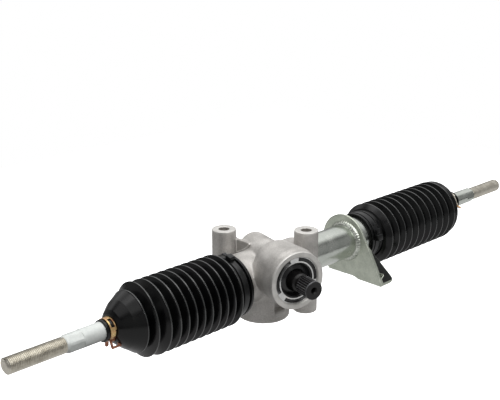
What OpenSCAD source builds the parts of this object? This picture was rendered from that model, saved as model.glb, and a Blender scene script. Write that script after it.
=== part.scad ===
// Manual rack-and-pinion steering gear with two tie rods.
// Origin: on the axis of the right bolt bore, at the height of the rack axis.
// X along the rack, -Y toward the pinion mouth, +Z up. Millimetres.
// The rack is drawn as photographed, a little right of mid travel.
// The modules are written from the rack axis under the yoke; at_origin() moves them.

/* [Rack] */

// Rack bar diameter
rack_d = 22; // [18:0.5:26]
// Left end face of the rack bar
rack_x0 = -87.5; // [-110:0.5:-80]
// Right end face of the rack bar
rack_x1 = 245.5; // [235:0.5:260]
// First tooth space, measured across the teeth
teeth_from = -64; // [-70:1:-50]
// Number of tooth spaces
teeth_n = 30; // [20:1:34]

/* [Pinion] */

// Angle of the pinion axis from square, about the vertical
skew = 14.2; // [0:0.1:25]
// Where the pinion crosses the rack
pin_x = 18.3; // [10:0.1:30]
// Height of the pinion axis over the rack axis
pin_z = 12; // [10:0.5:16]
// Normal module of rack and pinion
mod_n = 1.75; // [1.25:0.25:2.5]
// Pinion teeth
pin_teeth = 8; // [6:1:10]
// Tooth thinning for backlash
backlash = 0.25; // [0.05:0.01:0.4]
// Height of the rack teeth over the pitch line
rack_add = 0.8; // [0.6:0.05:0.8]
// Mouth face, from the crossing toward the steering column
mouth_y = 61.9; // [50:0.1:75]
// Length of shaft standing out of the mouth
spline_out = 25.8; // [24:0.1:40]
// Serrated end diameter
spline_d = 17; // [15:0.5:20]
// Serrations round the shaft
spline_n = 24; // [20:1:36]

/* [Housing] */

// Outside diameter at the mouth
mouth_d = 54.2; // [50:0.2:60]
// Diameter of the bump over the rack behind the pinion
bump_d = 33; // [31:0.5:44]
// Left body diameter
body_d = 48; // [44:0.5:56]
// Right body diameter round the tube
sock_d = 44; // [40:0.5:50]
// Spigot diameter under the left boot
spigot_d = 50; // [48:0.5:54]
// Yoke boss diameter
yoke_d = 50; // [40:0.5:60]
// Yoke centre along the rack
yoke_x = 20; // [10:0.5:30]
// Bolt boss diameter
boss_d = 23; // [18:0.2:28]
// Bolt hole diameter
bolt_d = 10.6; // [8.4:0.1:13]
// Top face of the bolt bosses
boss_z1 = 38; // [30:0.2:45]
// Bottom face of the bolt bosses
boss_z0 = -43.2; // [-50:0.2:-42]

/* [Tube and bracket] */

// Rack tube outside diameter
tube_d = 35; // [30:0.5:42]
// Rack tube wall
tube_t = 3; // [2:0.25:4]
// Tube diameter where it is pressed into the housing
neck_d = 32; // [30:0.5:34]
// Tube end under the right boot
tube_x1 = 170; // [150:1:190]
// Bracket plate left face
plate_x = 138; // [120:0.5:150]
// Bracket steel thickness
plate_t = 3; // [2:0.25:5]
// Width of the turned flange, plate included
flange_w = 19.2; // [15:0.2:30]
// Bracket eye diameter
eye_d = 55.4; // [48:0.2:60]
// Foot bolt hole diameter
foot_hole_d = 8.6; // [6.5:0.1:11]

/* [Tie rods] */

// Length from ball centre to rod end
rod_len = 150; // [120:0.5:180]
// Rod diameter
rod_d = 16; // [14:0.5:20]
// Thread diameter
thread_d = 14; // [12:1:18]
// Thread length
thread_len = 54; // [40:1:70]
// Ball diameter
ball_d = 20; // [18:0.5:26]
// Ball socket diameter
socket_d = 30; // [26:0.5:34]

/* [Boots] */

// Ridges on the left boot
left_n = 12; // [8:1:14]
// Pitch of the left ridges
left_pitch = 8.95; // [7:0.05:12]
// Ridge diameter of the left boot
left_d = 67.2; // [60:0.2:74]
// Ridges on the right boot
right_n = 11; // [8:1:14]
// Pitch of the right ridges
right_pitch = 10.96; // [8:0.05:13]
// Ridge diameter of the right boot
right_d = 64.4; // [58:0.2:74]
// Depth of the folds
fold = 5.2; // [3:0.1:8]
// Rubber wall
boot_t = 1.8; // [1.2:0.1:3]
// Sag of the left folds under their own weight
left_sag = 3; // [0:0.1:5]
// Sag of the right folds
right_sag = 1.8; // [0:0.1:5]

/* [Hidden] */

$fn = 64;
rack_r = rack_d / 2;
pitch_r = mod_n * pin_teeth / 2;
pitch_z = pin_z - pitch_r;
tip_r = pitch_r + mod_n;
root_r = pitch_r - 1.25 * mod_n;
pitch_n = PI * mod_n;
ball_off = 21;
left_ball_x = rack_x0 - ball_off;
right_ball_x = rack_x1 + ball_off;
bore_r = rack_r + 1;
yoke_bore = 30;
bearing_d = 40;
neck_in = rod_d + 0.04;
neck_out = rod_d + 4.76;
spig_x0 = -38;
collar_x1 = -20.8;
sock_x1 = 65;
tube_x0 = 44;
ring_r = 22;
seat_y = mouth_y - 3;
bearing_y0 = mouth_y - 22;
bearing_y1 = mouth_y - 10;
needle_y = -13;
needle_d = 20;
plug_z = boss_z0 + 0.6;
left_boss = [1.8, 34.35];
right_boss = [54.6, -22.25];
foot_z = -37.2;
left_c12 = -38.6;
left_c3 = left_c12 - 9 * left_pitch;
right_c1 = tube_x1 + 6.6;
right_end = right_c1 + (right_n - 1) * right_pitch;
collar_d = spigot_d + 7;
sleeve_d = tube_d + 7;
sleeve_bead = sleeve_d + 1.6;
eye_c = [1.7, -0.5];
edge0 = [-49.8, foot_z + 1.6];
edge_v = eye_c - edge0;
edge_a = atan2(edge_v[1], edge_v[0]) + asin(eye_d / 2 / norm(edge_v));
edge_len = sqrt(edge_v * edge_v - eye_d * eye_d / 4);
flat_y = socket_d / 2 - 2;

// Moves a sub-part so that the right bolt bore stands on the origin
module at_origin() {
  translate([-right_boss[0], -right_boss[1], 0]) children();
}

// Cylinder along X between two stations
module xcyl(x0, x1, d, d2 = -1) {
  translate([x0, 0, 0]) rotate([0, 90, 0])
    cylinder(h = x1 - x0, d1 = d, d2 = d2 < 0 ? d : d2);
}

// Places things in the pinion frame: -Y runs out of the mouth
module at_pinion() {
  translate([pin_x, 0, pin_z]) rotate([0, 0, -skew]) children();
}

// Cylinder on the pinion axis, stations measured toward the mouth
module pcyl(y0, y1, d, d2 = -1) {
  translate([0, -y0, 0]) rotate([90, 0, 0])
    cylinder(h = y1 - y0, d1 = d, d2 = d2 < 0 ? d : d2);
}

// Solid of revolution about the X axis from [x, radius] points
module xspin(pts) {
  rotate([0, 90, 0]) rotate([0, 0, 90])
    rotate_extrude() polygon([for (p = pts) [p[1], p[0]]]);
}

// Solid of revolution about the pinion axis from [y, radius] points
module pspin(pts) {
  rotate([90, 0, 0]) rotate_extrude() polygon([for (p = pts) [p[1], p[0]]]);
}

module bolt_boss(p) {
  translate([p[0], p[1], boss_z0]) cylinder(h = boss_z1 - boss_z0, d = boss_d);
}

module bolt_bore(p) {
  translate([p[0], p[1], boss_z0 - 1]) cylinder(h = boss_z1 - boss_z0 + 2, d = bolt_d);
}

// Barrel with a rounded rear shoulder, widening toward the mouth
module barrel(y0, y1, r0, r1) {
  pspin(concat([[y0, 0], [y0, r0 - 5]],
    [for (a = [15:15:90]) [y0 + 5 - 5 * cos(a), r0 - 5 + 5 * sin(a)]],
    [[y1 - 2, r1], [y1, r1 - 1], [y1, 0]]));
}

module pinion_housing() {
  color([0.74, 0.73, 0.71]) difference() {
    union() {
      // rack body, boot spigot with bead, and tube socket
      xcyl(-24, pin_x + 4, body_d);
      xcyl(spig_x0, -20, spigot_d);
      xcyl(-19.5, -14, spigot_d - 0.6, body_d);
      xcyl(pin_x, sock_x1, sock_d);
      // pinion barrel, thicker shoulder behind the mouth, bump over the rack
      at_pinion() {
        pcyl(30, mouth_y - 1.2, mouth_d - 2.2, mouth_d);
        pcyl(mouth_y - 1.2, mouth_y, mouth_d, mouth_d - 2.4);
        translate([0, 0, 2.4]) barrel(20, mouth_y - 6, mouth_d / 2 - 2.6, mouth_d / 2 - 0.7);
        pcyl(-22, 24, bearing_d - 9);
        translate([1.1, 0, 5.2]) {
          pcyl(-19, 24, bump_d);
          pcyl(-21, -19, bump_d - 3, bump_d);
          pcyl(-23, -21, bump_d - 10, bump_d - 3);
        }
      }
      // yoke boss under the mesh
      translate([yoke_x, 0, boss_z0 - 0.4]) cylinder(h = 40, d = yoke_d);
      bolt_boss(left_boss);
      bolt_boss(right_boss);
      // webs from the left boss to the bump and to the rack body
      translate([left_boss[0] + 5.2, 4, 8]) cube([4, left_boss[1] - 10, 21.3]);
      translate([left_boss[0] - 4, 15, -20]) cube([8, 16, 26]);
      // web from the right boss to the tube socket
      translate([right_boss[0] - 7, -20, -16]) cube([14, 16, 32]);
    }
    // rack passage and tube socket
    xcyl(spig_x0 - 1, sock_x1 + 1, 2 * bore_r);
    xcyl(spig_x0 - 1, spig_x0 + 3, 2 * bore_r + 3, 2 * bore_r);
    xcyl(tube_x0, sock_x1 + 1, neck_d);
    at_pinion() {
      // mouth counterbore, bearing seat, gear well and rear bearing seat
      pcyl(bearing_y1, mouth_y + 1, 2 * ring_r);
      pcyl(mouth_y - 0.8, mouth_y + 0.2, 2 * ring_r, 2 * ring_r + 2);
      pcyl(bearing_y0, bearing_y1 + 1, bearing_d);
      pcyl(-11.5, bearing_y0 + 1, 24);
      pcyl(needle_y - 8, -11, needle_d);
    }
    // yoke bore
    translate([yoke_x, 0, boss_z0 - 2]) cylinder(h = -boss_z0 + 2, d = yoke_bore);
    // recess in the yoke boss below the barrel
    translate([yoke_x - 8.2, -yoke_d / 2 - 1, -33.6]) cube([12.4, 4.4, 22]);
    bolt_bore(left_boss);
    bolt_bore(right_boss);
  }
}

module rack_tube() {
  color([0.72, 0.74, 0.71]) difference() {
    union() {
      xcyl(tube_x0, sock_x1 + 1, neck_d);
      xcyl(sock_x1, tube_x1, tube_d);
    }
    xcyl(tube_x0 - 1, tube_x1 + 1, tube_d - 2 * tube_t);
  }
}

// Steel sleeve that carries the right boot
module boot_sleeve() {
  color([0.72, 0.74, 0.71]) difference() {
    union() {
      xcyl(plate_x + plate_t, tube_x1, sleeve_d);
      xcyl(tube_x1 - 4, tube_x1, sleeve_bead);
      xcyl(plate_x + plate_t, plate_x + plate_t + 9, sleeve_d + 4, sleeve_d + 2);
    }
    xcyl(plate_x, tube_x1 + 1, tube_d);
  }
}

// Bracket outline in the plane across the rack, [y, z]
module plate_outline() {
  translate(eye_c) circle(d = eye_d);
  polygon([
    [eye_c[0] + eye_d / 2 - 0.1, 2], [25.4, -12], [22, -34], [20, foot_z + 1.2],
    [-11, foot_z + 1.9], [-15, foot_z + 1.4], [-19, foot_z],
    [-48.4, foot_z], edge0, edge0 + edge_len * [cos(edge_a), sin(edge_a)], eye_c
  ]);
}

module tube_bracket() {
  color([0.7, 0.72, 0.69]) difference() {
    union() {
      // plate with the eye
      translate([plate_x, 0, 0]) rotate([90, 0, 90])
        linear_extrude(plate_t) plate_outline();
      // flange turned along the slanted edge, narrowing upward
      translate([plate_x, edge0[0], edge0[1]]) rotate([edge_a, 0, 0])
        translate([0, 0, -plate_t]) linear_extrude(plate_t) difference() {
          union() {
            polygon([[0, 0], [flange_w - 4, 0], [flange_w, 4], [flange_w, 5.5], [0, edge_len - 9]]);
            translate([flange_w - 4, 4]) circle(r = 4);
          }
          polygon([[plate_t + 0.2, 7.2], [plate_t + 5.6, 9.6], [plate_t + 4.8, 10.8], [plate_t + 0.2, 12.6]]);
        }
      // foot turned level at the bottom
      translate([plate_x, -48.4, foot_z]) linear_extrude(plate_t) union() {
        polygon([[0, 0], [flange_w - 5, 0], [flange_w, 5], [flange_w, 25], [flange_w - 5, 30], [0, 30]]);
        for (y = [5, 25]) translate([flange_w - 5, y]) circle(r = 5);
      }
    }
    xcyl(plate_x - 1, plate_x + plate_t + 1, tube_d);
    translate([plate_x + 11.5, -31, foot_z - 1]) cylinder(h = plate_t + 2, d = foot_hole_d);
  }
}

// Fillet welds on both sides of the plate
module bracket_weld() {
  color([0.66, 0.67, 0.64]) difference() {
    xcyl(plate_x - 5, plate_x, tube_d + 1, tube_d + 10);
    xcyl(plate_x - 6, plate_x + 1, tube_d);
  }
}

module rack_bush() {
  color([0.2, 0.2, 0.22]) difference() {
    union() {
      xcyl(tube_x1 - 22, tube_x1 - 1, tube_d - 2 * tube_t);
    }
    xcyl(tube_x1 - 23, tube_x1, rack_d + 0.08);
  }
}

// Piston that presses the rack up against the pinion
module yoke_piston() {
  color([0.6, 0.62, 0.64]) difference() {
    translate([yoke_x, 0, -29]) cylinder(h = 24, d = yoke_bore - 0.08);
    xcyl(yoke_x - 20, yoke_x + 20, rack_d + 2.4);
    translate([yoke_x, 0, -30]) cylinder(h = 7, d = 20);
    // groove for the ring
    translate([yoke_x, 0, -24.3]) rotate_extrude() translate([yoke_bore / 2 - 2.65, -1.35]) square([3, 2.7]);
  }
}

// Thin liner between piston and rack
module yoke_liner() {
  color([0.16, 0.16, 0.17]) intersection() {
    difference() {
      xcyl(yoke_x - 9, yoke_x + 9, rack_d + 2.4);
      xcyl(yoke_x - 10, yoke_x + 10, rack_d + 0.06);
    }
    translate([yoke_x - 12, -9.5, -14]) cube([24, 19, 8]);
  }
}

// Disc springs between piston and plug
module yoke_spring() {
  color([0.35, 0.36, 0.38]) translate([yoke_x, 0, -23]) rotate_extrude()
    polygon([
      [6, 0], [8.6, -2.6], [6, -5.2], [8.6, -7.8], [6.2, -10.4],
      [5, -10.4], [7.2, -7.8], [4.6, -5.2], [7.2, -2.6], [4.6, 0]
    ]);
}

module yoke_plug() {
  color([0.62, 0.63, 0.64]) difference() {
    translate([yoke_x, 0, plug_z]) cylinder(h = -33.4 - plug_z, d = yoke_bore);
    translate([yoke_x, 0, plug_z - 1]) cylinder(h = 6, d = 16, $fn = 6);
  }
}

module yoke_ring() {
  color([0.08, 0.08, 0.08]) translate([yoke_x, 0, -24.3])
    rotate_extrude() translate([yoke_bore / 2 - 1.3, 0]) circle(r = 1.3, $fn = 24);
}

// Races of the pinion ball bearing
module bearing_outer() {
  mid = (bearing_y0 + bearing_y1) / 2;
  color([0.78, 0.79, 0.8]) at_pinion() difference() {
    pcyl(bearing_y0, bearing_y1, bearing_d);
    pcyl(bearing_y0 - 1, bearing_y1 + 1, 33.6);
    translate([0, -mid, 0]) rotate([90, 0, 0])
      rotate_extrude() translate([14.3, 0]) circle(r = 3.45, $fn = 32);
  }
}

module bearing_inner() {
  mid = (bearing_y0 + bearing_y1) / 2;
  color([0.78, 0.79, 0.8]) at_pinion() difference() {
    pcyl(bearing_y0, bearing_y1, 23.2);
    pcyl(bearing_y0 - 1, bearing_y1 + 1, spline_d);
    translate([0, -mid, 0]) rotate([90, 0, 0])
      rotate_extrude() translate([14.3, 0]) circle(r = 3.4, $fn = 32);
  }
}

module bearing_balls() {
  mid = (bearing_y0 + bearing_y1) / 2;
  color([0.7, 0.68, 0.5]) at_pinion() {
    difference() {
      pcyl(mid - 2.2, mid + 2.2, 30.2);
      pcyl(mid - 3, mid + 3, 27);
    }
    for (i = [0:7])
      translate([0, -mid, 0]) rotate([0, i * 45, 0]) translate([14.3, 0, 0])
        sphere(r = 3.38, $fn = 32);
  }
}

module needle_bush() {
  color([0.72, 0.72, 0.7]) at_pinion() difference() {
    pcyl(needle_y - 7.5, needle_y, needle_d);
    pcyl(needle_y - 9, needle_y + 1, 12.08);
  }
}

// Lip seal, dished toward the mouth
module pinion_seal() {
  sy = bearing_y1;
  color([0.05, 0.05, 0.05]) at_pinion() pspin([
    [sy, spline_d / 2 + 0.05], [seat_y - 2.6, spline_d / 2 + 0.05],
    [seat_y - 1, spline_d / 2 + 2], [seat_y - 3.2, 14.6], [seat_y - 0.7, 15.6],
    [seat_y - 0.7, ring_r], [sy, ring_r]
  ]);
}

// One curved slot in the retaining ring
module ring_slot(a0, a1) {
  rotate([90, 0, 0]) rotate([0, 0, a0]) rotate_extrude(angle = a1 - a0)
    translate([17.9, -1]) square([3.4, 5]);
}

// Steel ring that holds the seal
module retaining_ring() {
  color([0.85, 0.85, 0.86]) at_pinion() translate([0, -seat_y + 0.7, 0]) difference() {
    pcyl(0, 1.7, 2 * ring_r - 0.06);
    pcyl(-1, 3, 33.4);
    translate([0, 1, 0]) {
      ring_slot(110, 208);
      ring_slot(232, 330);
      ring_slot(-8, 85);
    }
  }
}

// Involute flank point at radius r for base radius b
function inv_pt(b, r, s) =
  let (t = sqrt(max(0, r * r / (b * b) - 1)), a = t * 180 / PI - atan(t))
  [r, s * a];

// Section of the gear: each tooth drawn by its involute flanks
module gear_2d() {
  base_r = pitch_r * cos(20);
  t0 = sqrt(pitch_r * pitch_r / (base_r * base_r) - 1);
  inv0 = t0 * 180 / PI - atan(t0);
  half = 90 / pin_teeth - backlash / 2 / pitch_r * 90 / PI + inv0;
  foot = half - 4;
  rads = [for (i = [0:5]) base_r + (tip_r - base_r) * i / 5];
  for (k = [0:pin_teeth - 1]) rotate([0, 0, k * 360 / pin_teeth])
    polygon(concat(
      [[0, 0]],
      [[(root_r - 0.4) * cos(foot), -(root_r - 0.4) * sin(foot)]],
      [for (r = rads) let (a = -half + inv_pt(base_r, r, 1)[1]) [r * cos(a), r * sin(a)]],
      [for (i = [5:-1:0]) let (r = rads[i], a = half - inv_pt(base_r, r, 1)[1]) [r * cos(a), r * sin(a)]],
      [[(root_r - 0.4) * cos(foot), (root_r - 0.4) * sin(foot)]]
    ));
  circle(r = root_r);
}

module pinion_shaft() {
  end_y = mouth_y + spline_out;
  color([0.1, 0.1, 0.1]) at_pinion() difference() {
    union() {
      // gear, one tooth pointing down into a rack space
      translate([0, 11, 0]) rotate([90, 0, 0])
        linear_extrude(24) rotate([0, 0, -90]) gear_2d();
      pcyl(needle_y - 7, -10.9, 12);
      pcyl(12.9, bearing_y0, 17);
      pcyl(bearing_y0 - 4, bearing_y0, 21);
      pcyl(bearing_y0 - 0.1, end_y - 22, spline_d);
      // neck for the pinch bolt
      pcyl(end_y - 22.1, end_y - 20, spline_d, spline_d - 2.6);
      pcyl(end_y - 20.1, end_y - 17.4, spline_d - 2.6);
      pcyl(end_y - 17.5, end_y - 15.9, spline_d - 2.6, spline_d - 2.4);
      // serrated end
      translate([0, -end_y + 16, 0]) rotate([90, 0, 0]) linear_extrude(14.9)
        polygon([for (i = [0:2 * spline_n - 1])
          let (r = i % 2 == 0 ? spline_d / 2 - 0.03 : spline_d / 2 - 1.1, a = i * 180 / spline_n)
          [r * cos(a), r * sin(a)]]);
      pcyl(end_y - 1.2, end_y - 0.5, spline_d);
      pcyl(end_y - 0.5, end_y, spline_d, spline_d - 0.9);
    }
    // centre drilling
    pcyl(end_y - 7, end_y + 1, 4.4);
    pcyl(end_y - 1.6, end_y + 0.1, 4.4, 6.6);
  }
}

// Tooth spaces of the rack, across the teeth and upward
module rack_spaces_2d() {
  top = rack_r + 1;
  root = pitch_z - 1.25 * mod_n;
  hw = pitch_n / 4;
  lean = tan(20);
  for (i = [0:teeth_n - 1]) translate([i * pitch_n, 0])
    polygon([
      [-hw + lean * (pitch_z - root), root], [hw - lean * (pitch_z - root), root],
      [hw + lean * (rack_add + 0.2), pitch_z + rack_add + 0.2],
      [-hw - lean * (rack_add + 0.2), pitch_z + rack_add + 0.2]
    ]);
  translate([-hw - 3, pitch_z + rack_add]) square([teeth_n * pitch_n + 5, top - pitch_z]);
}

module rack_bar() {
  // the space nearest the crossing is centred under the pinion
  n0 = floor(teeth_from / pitch_n) * pitch_n;
  color([0.5, 0.51, 0.53]) difference() {
    union() {
      xcyl(rack_x0 + 1, rack_x1 - 1, rack_d);
      xcyl(rack_x0, rack_x0 + 1, rack_d - 2, rack_d);
      xcyl(rack_x1 - 1, rack_x1, rack_d, rack_d - 2);
    }
    translate([pin_x, 0, 0]) rotate([0, 0, -skew]) translate([n0, 50, 0])
      rotate([90, 0, 0]) linear_extrude(100) rack_spaces_2d();
    // tapped ends for the ball sockets
    xcyl(rack_x0 - 1, rack_x0 + 20, 14);
    xcyl(rack_x1 - 20, rack_x1 + 1, 14);
  }
}

// Ball joint pieces are drawn for the left end, ball at the origin, rod toward -X
module socket_shape() {
  difference() {
    union() {
      xcyl(-9, ball_off - 2, socket_d);
      xcyl(-10.6, -9, socket_d - 1.6, socket_d);
      xcyl(ball_off - 2.1, ball_off + 16, 14);
    }
    rotate([0, 90, 0]) sphere(d = ball_d + 4);
    xcyl(-11, -4, 27.2, 21.4);
    // wrench flats
    for (s = [-1, 1]) translate([5, s * (flat_y + 1.5) - 1.5, -20]) cube([ball_off - 6.9, 3, 40]);
  }
}

module seat_shape() {
  difference() {
    intersection() {
      rotate([0, 90, 0]) sphere(d = ball_d + 3.94);
      xcyl(-5.2, 11, 26);
    }
    rotate([0, 90, 0]) sphere(d = ball_d + 0.06);
  }
}

module washer_shape() {
  difference() {
    union() {
      xcyl(ball_off - 2, ball_off, socket_d - 3);
      // tabs bent over the socket flats
      for (s = [-1, 1]) translate([ball_off - 7, s * (flat_y + 1.1) - 0.9, -4]) cube([7, 1.8, 8]);
      for (s = [-1, 1]) translate([ball_off - 2, s * (flat_y - 1) - 3, -4]) cube([2, 6, 8]);
    }
    xcyl(ball_off - 8, ball_off + 1, 14);
  }
}

module rod_shape() {
  flat_x = -rod_len + thread_len;
  difference() {
    union() {
      sphere(d = ball_d);
      xcyl(-19, -6, 11);
      xcyl(-27, -18.9, rod_d, 11);
      xcyl(flat_x + 2, -26.9, rod_d);
      xcyl(flat_x, flat_x + 2.1, thread_d, rod_d);
      xcyl(-rod_len + 2, flat_x, thread_d);
      xcyl(-rod_len, -rod_len + 2.1, thread_d - 3.4, thread_d);
    }
    // forged wrench flats beside the thread
    for (s = [-1, 1]) translate([flat_x, -10, s * 8.4 - 1.5]) cube([12, 20, 3]);
  }
}

module left_tie_rod() { color([0.76, 0.78, 0.8]) translate([left_ball_x, 0, 0]) rod_shape(); }
module right_tie_rod() {
  color([0.76, 0.78, 0.8]) translate([right_ball_x, 0, 0]) rotate([0, 0, 180]) rod_shape();
}
module left_ball_socket() { color([0.45, 0.46, 0.48]) translate([left_ball_x, 0, 0]) socket_shape(); }
module right_ball_socket() {
  color([0.45, 0.46, 0.48]) translate([right_ball_x, 0, 0]) rotate([0, 0, 180]) socket_shape();
}
module left_ball_seat() { color([0.9, 0.9, 0.86]) translate([left_ball_x, 0, 0]) seat_shape(); }
module right_ball_seat() {
  color([0.9, 0.9, 0.86]) translate([right_ball_x, 0, 0]) rotate([0, 0, 180]) seat_shape();
}
module left_lock_washer() { color([0.65, 0.66, 0.66]) translate([left_ball_x, 0, 0]) washer_shape(); }
module right_lock_washer() {
  color([0.65, 0.66, 0.66]) translate([right_ball_x, 0, 0]) rotate([0, 0, 180]) washer_shape();
}

// Folded wall from x0: crest radius r, n folds, outer and inner zigzag
function crest(x, r, p) = [[x - 0.22 * p, r - 0.9], [x, r], [x + 0.22 * p, r - 0.9]];
function valley(x, r, p) = [[x - 0.1 * p, r - fold], [x + 0.1 * p, r - fold]];
function folds(x0, r, p, n) = [for (i = [0:n - 1]) each concat(
  crest(x0 + i * p, r, p), i < n - 1 ? valley(x0 + (i + 0.5) * p, r, p) : [])];
function reverse(v) = [for (i = [len(v) - 1:-1:0]) v[i]];
function inner(x0, r, p, n) = [for (i = [0:n - 1]) each concat(
  [[x0 + i * p, r - boot_t - 0.6]],
  i < n - 1 ? [[x0 + (i + 0.5) * p, r - fold - boot_t]] : [])];

module left_boot() {
  r = left_d / 2;
  p = left_pitch;
  c1 = left_c3 - 20;
  c2 = left_c3 - 11.2;
  color([0.045, 0.045, 0.047]) difference() {
    union() {
      // folds and nose cone, hanging a little low
      translate([0, 0, -left_sag]) xspin(concat(
        [[-159.5, 0], [-159.5, 12.4], [-146.5, 26], [-144, 28.4]],
        crest(c1, 29.9, p), [[c1 + 4.2, 26.6], [c1 + 5, 26.8]],
        crest(c2, 33, p), [[c2 + 5.2, 28.6], [c2 + 6.2, 28.6]],
        folds(left_c3, r, p, left_n - 2),
        [[left_c12 + 3, 29], [left_c12 + 3, 25]],
        reverse(inner(left_c3, r, p, left_n - 2)),
        [[c2 + 5.7, 26.6], [c2, 30.6], [c1 + 4.6, 24.8], [c1, 27.4],
         [-144.6, 24.8], [-156.2, 11], [-156.2, 0]]
      ));
      // neck on the rod with its end lip
      xspin([
        [-171, 0], [-171, neck_out / 2 - 0.18], [-170.2, neck_out / 2 + 0.62],
        [-168.8, neck_out / 2 + 0.62], [-168.3, neck_out / 2], [-159, neck_out / 2], [-159, 0]
      ]);
      // collar on the spigot with its end lip
      translate([0, 0, -left_sag * 0.8]) {
        xcyl(left_c12 + 1, collar_x1 - 4.4, collar_d);
        xcyl(collar_x1 - 4.6, collar_x1 - 2.6, collar_d, collar_d + 2.2);
        xcyl(collar_x1 - 2.8, collar_x1, collar_d + 2.2);
      }
    }
    xcyl(-172, -150, neck_in);
    xcyl(spig_x0 - 0.05, collar_x1 + 1, spigot_d);
    xcyl(left_c12 - 1, spig_x0 + 1, spigot_d - 5);
  }
}

module right_boot() {
  r = right_d / 2;
  p = right_pitch;
  last = right_end;
  color([0.045, 0.045, 0.047]) difference() {
    union() {
      translate([0, 0, -right_sag]) xspin(concat(
        [[tube_x1 + 0.1, 19], [tube_x1 + 0.1, 25], [tube_x1 + 3.5, 31]],
        folds(right_c1, r, p, right_n),
        [[last + 5, 30.4], [last + 8, 27], [last + 19.5, 11.6], [last + 19.5, 0], [last + 16.2, 0],
         [last + 16.2, 11], [last + 6.2, 25.4]],
        reverse(inner(right_c1, r, p, right_n)),
        [[tube_x1 + 2.2, 27.6], [tube_x1 + 1.4, 19]]
      ));
      // neck on the rod with its end lip
      xspin([
        [last + 39.8, 0], [last + 39.8, neck_out / 2 - 0.18], [last + 39, neck_out / 2 + 0.62],
        [last + 37.6, neck_out / 2 + 0.62], [last + 37.1, neck_out / 2], [last + 19, neck_out / 2],
        [last + 19, 0]
      ]);
      // collar on the sleeve
      xcyl(tube_x1 - 16.4, tube_x1 - 13.6, sleeve_d + 7.4);
      xcyl(tube_x1 - 13.8, tube_x1 - 4, sleeve_d + 5.6);
      xcyl(tube_x1 - 4.2, tube_x1 + 1, sleeve_d + 7.4);
    }
    xcyl(last + 10, last + 41, neck_in);
    xcyl(tube_x1 - 17, tube_x1 - 3.9, sleeve_d);
    xcyl(tube_x1 - 4, tube_x1 + 0.05, sleeve_bead);
    xcyl(tube_x1, tube_x1 + 2, sleeve_d - 2);
  }
}

// Spring band: ring with two tangs at the bottom
module small_clamp(x0, x1) {
  r = neck_out / 2 + 0.02;
  color([0.8, 0.62, 0.36]) difference() {
    union() {
      xcyl(x0, x1, 2 * r + 1.8);
      translate([x0 + 0.6, -4.6, -r - 6.1]) cube([2.6, 3, 6.5]);
      translate([x1 - 3.4, -3, -r - 6.1]) cube([2.8, 6.5, 6.5]);
    }
    xcyl(x0 - 1, x1 + 1, 2 * r);
    translate([x1 - 4.5, -1.6, -r - 4.6]) cube([5, 3.6, 3.4]);
  }
}
module left_small_clamp() { small_clamp(-168, -160.2); }
module right_small_clamp() { small_clamp(right_end + 29, right_end + 36.8); }

// Nylon strap with its square head, head turned by a degrees round the rack
module cable_tie(x0, x1, d, sag, a) {
  translate([0, 0, -sag]) {
    difference() {
      xcyl(x0, x1, d + 2.4);
      xcyl(x0 - 1, x1 + 1, d);
    }
    rotate([a, 0, 0]) translate([x0 - 0.6, -4, d / 2 + 0.9]) cube([x1 - x0 + 1.2, 8, 4.6]);
  }
}
module left_cable_tie() {
  color([0.06, 0.06, 0.065]) cable_tie(-32.5, -26, collar_d, left_sag * 0.8, 13);
}
module right_cable_tie() {
  color([0.06, 0.06, 0.065]) cable_tie(tube_x1 - 12.4, tube_x1 - 6, sleeve_d + 5.6, 0, 80);
}

at_origin() pinion_housing();
at_origin() rack_tube();
at_origin() boot_sleeve();
at_origin() tube_bracket();
at_origin() bracket_weld();
at_origin() rack_bush();
at_origin() yoke_piston();
at_origin() yoke_liner();
at_origin() yoke_spring();
at_origin() yoke_plug();
at_origin() yoke_ring();
at_origin() bearing_outer();
at_origin() needle_bush();
at_origin() pinion_seal();
at_origin() retaining_ring();
at_origin() pinion_shaft();
at_origin() bearing_inner();
at_origin() bearing_balls();
at_origin() rack_bar();
at_origin() left_lock_washer();
at_origin() left_ball_socket();
at_origin() left_ball_seat();
at_origin() right_lock_washer();
at_origin() right_ball_socket();
at_origin() right_ball_seat();
at_origin() left_tie_rod();
at_origin() right_tie_rod();
at_origin() left_boot();
at_origin() right_boot();
at_origin() left_small_clamp();
at_origin() right_small_clamp();
at_origin() left_cable_tie();
at_origin() right_cable_tie();
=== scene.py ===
import math

import bmesh
import bpy
from mathutils import Matrix, Vector


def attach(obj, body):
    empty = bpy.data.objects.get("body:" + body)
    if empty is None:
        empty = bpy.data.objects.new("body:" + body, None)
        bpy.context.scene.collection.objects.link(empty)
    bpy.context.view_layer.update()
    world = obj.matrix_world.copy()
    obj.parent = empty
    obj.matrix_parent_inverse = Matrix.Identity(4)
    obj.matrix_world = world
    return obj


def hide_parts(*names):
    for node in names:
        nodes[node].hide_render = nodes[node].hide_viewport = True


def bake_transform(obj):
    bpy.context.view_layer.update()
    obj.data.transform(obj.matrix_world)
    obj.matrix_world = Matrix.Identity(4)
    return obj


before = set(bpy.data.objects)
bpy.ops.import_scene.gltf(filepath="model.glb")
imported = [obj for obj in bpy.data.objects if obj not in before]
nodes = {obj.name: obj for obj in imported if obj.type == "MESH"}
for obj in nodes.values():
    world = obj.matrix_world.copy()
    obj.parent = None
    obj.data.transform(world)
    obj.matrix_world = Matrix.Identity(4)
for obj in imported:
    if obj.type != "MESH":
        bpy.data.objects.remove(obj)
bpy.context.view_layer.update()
MM = 0.001

# Point of the rack axis under the yoke: stations along the rack count from here, in mm
AXIS = Vector((-54.6, 22.25, 0.0))
# The pinion axis: where it passes the rack, and its lean about the vertical, in degrees
CROSSING = AXIS + Vector((18.3, 0.0, 12.0))
PINION_LEAN = 14.2
PINION_TURN = Matrix.Rotation(-math.radians(90 + PINION_LEAN), 4, "Z")
# Station of the housing's mouth along the pinion axis
MOUTH = 61.9
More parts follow.
